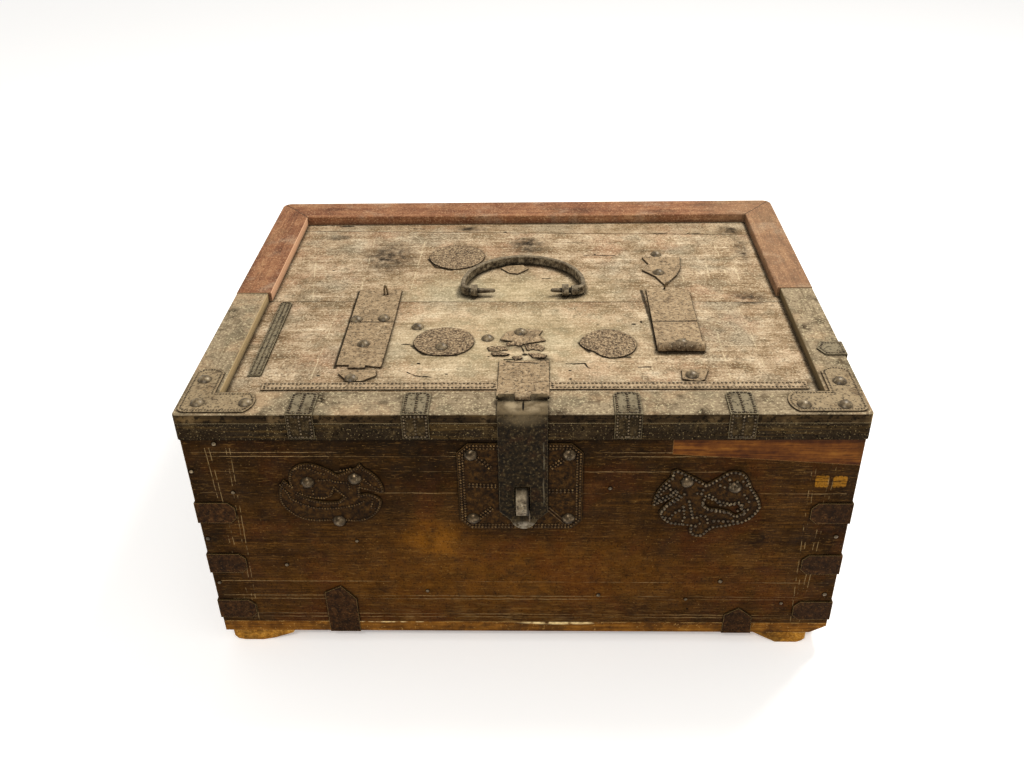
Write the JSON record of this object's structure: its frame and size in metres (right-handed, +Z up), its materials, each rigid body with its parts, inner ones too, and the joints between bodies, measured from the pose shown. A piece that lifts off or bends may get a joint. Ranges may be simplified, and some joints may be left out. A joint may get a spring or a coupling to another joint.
{
  "type": "damchiya chest",
  "caption": "Low oblong wooden chest with a hinged plank lid, a bail handle on top, a slotted hasp over a front staple, and nailed sheet-iron straps and ornaments.",
  "frame": {"origin": "on the floor, under the middle of the box that holds the closed chest", "axes": "+X to the right along the front, +Y to the back, +Z up"},
  "size_m": [0.5412, 0.4374, 0.2577],
  "materials": {
    "panel_wood": "dry, weathered, unpainted plank",
    "old_rail_wood": "old dark grey-brown, worn",
    "new_rail_wood": "newer red-brown replacement, oiled",
    "dark_front_wood": "dark stained and waxed board",
    "repair_wood": "fresh orange-brown repair wood",
    "base_wood": "ochre-brown raw wood",
    "sheet_iron": "thin rusted sheet iron with raised beading",
    "forged_iron": "hand-forged dark iron, slightly rusted",
    "stud_iron": "domed iron nail heads, worn bright on top"
  },
  "bodies": {
    "case": {"front_board": "dark_front_wood", "back_board": "dark_front_wood", "left_side_board": "dark_front_wood", "right_side_board": "dark_front_wood", "base_board": "base_wood", "left_foot": "base_wood", "right_foot": "base_wood", "front_repair_strip": "repair_wood", "left_corner_straps": "sheet_iron", "right_corner_straps": "sheet_iron", "left_bottom_strap": "sheet_iron", "right_bottom_strap": "sheet_iron", "lock_plate": "sheet_iron", "staple": "forged_iron", "left_ornament": "sheet_iron", "right_ornament": "sheet_iron", "front_studs": "stud_iron", "left_hinge_case_leaf": "forged_iron", "right_hinge_case_leaf": "forged_iron", "left_hinge_pin": "forged_iron", "right_hinge_pin": "forged_iron", "case_hinge_nails": "stud_iron"},
    "lid": {"rear_plank": "panel_wood", "middle_plank": "panel_wood", "front_plank": "panel_wood", "front_rail": "old_rail_wood", "left_front_rail": "old_rail_wood", "right_front_rail": "old_rail_wood", "left_rear_rail": "new_rail_wood", "right_rear_rail": "new_rail_wood", "back_rail": "new_rail_wood", "left_corner_plate": "sheet_iron", "right_corner_plate": "sheet_iron", "edge_straps": "sheet_iron", "side_strap": "sheet_iron", "border_strip": "sheet_iron", "left_tin_strip": "sheet_iron", "left_band_upper": "sheet_iron", "left_band_lower": "sheet_iron", "left_band_tip": "sheet_iron", "right_band_remnant": "sheet_iron", "right_band_upper": "sheet_iron", "right_band_lower": "sheet_iron", "right_band_tail": "sheet_iron", "rear_left_roundel": "sheet_iron", "front_left_roundel": "sheet_iron", "front_right_roundel": "sheet_iron", "handle_tin_remnant": "sheet_iron", "middle_tin_remnant": "sheet_iron", "panel_studs": "stud_iron", "rail_studs": "stud_iron", "handle_eyes": "forged_iron", "left_hinge_lid_leaf": "forged_iron", "right_hinge_lid_leaf": "forged_iron", "lid_hinge_nails": "stud_iron", "hasp_anchor_leaf": "forged_iron", "hasp_pin": "forged_iron"},
    "handle": {"handle": "forged_iron"},
    "hasp": {"hasp": "forged_iron"}
  },
  "joints": [
    {"name": "lid_hinge", "type": "hinge", "parent": "case", "child": "lid", "pos_m": [0, 0.2145, 0.22715], "axis": [-1, 0, 0], "range_deg": [0, 180]},
    {"name": "handle_swing", "type": "hinge", "parent": "lid", "child": "handle", "pos_m": [0, 0.0043, 0.2486], "axis": [1, 0, 0], "range_deg": [0, 177]},
    {"name": "hasp_swing", "type": "hinge", "parent": "lid", "child": "hasp", "pos_m": [0.0025, -0.1867, 0.2545], "axis": [-1, 0, 0], "range_deg": [0, 190]}
  ]
}
